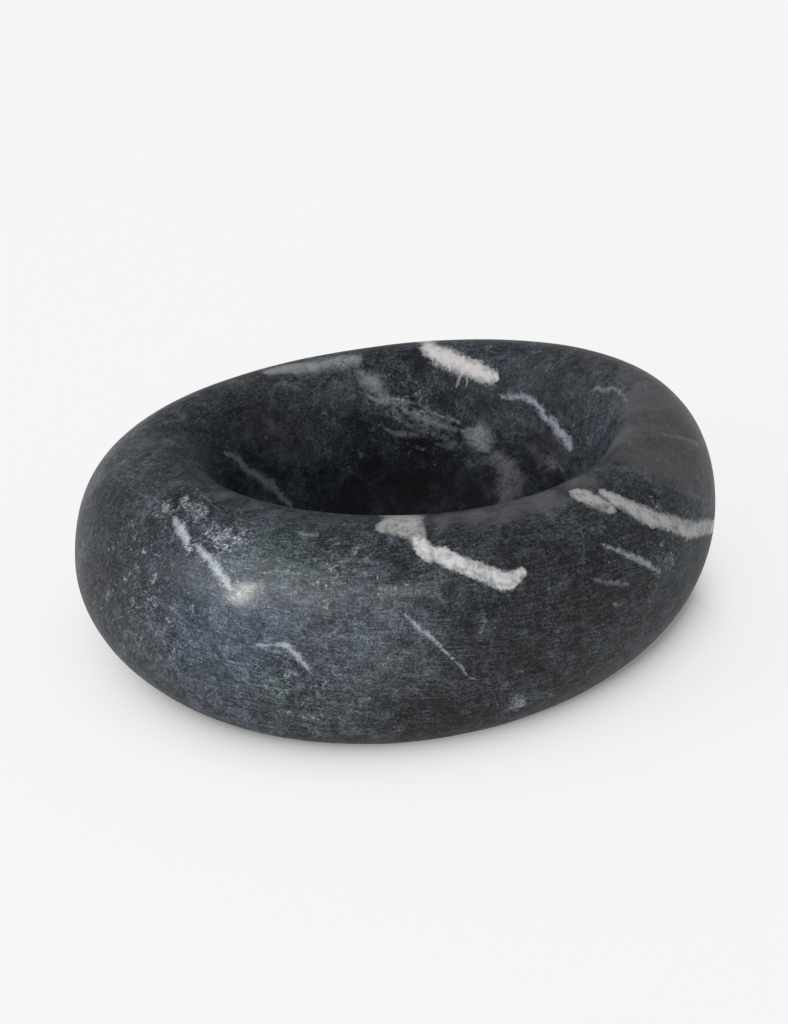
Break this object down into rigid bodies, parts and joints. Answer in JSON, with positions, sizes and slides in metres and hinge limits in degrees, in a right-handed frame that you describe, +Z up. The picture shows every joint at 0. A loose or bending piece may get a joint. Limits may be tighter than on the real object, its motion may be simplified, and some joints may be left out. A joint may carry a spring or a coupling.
{
  "type": "stone bowl",
  "caption": "Thick-walled lopsided oval bowl carved from veined dark stone, with a broad rolled rim, a deep hollow and felt pads under its flat foot.",
  "frame": {"origin": "on the table, under the middle of the bowl's length and width", "axes": "+X along the length, towards the high side of the rim; +Y towards the back; +Z up, out of the hollow"},
  "size_m": [0.305, 0.245, 0.125],
  "materials": {
    "marble": "honed satin, dark blue-green with white and grey veins",
    "felt": "pressed charcoal felt"
  },
  "bodies": {
    "root": {"bowl": "marble", "felt_pad_front_right": "felt", "felt_pad_back_right": "felt", "felt_pad_back_left": "felt", "felt_pad_front_left": "felt"}
  },
  "joints": []
}
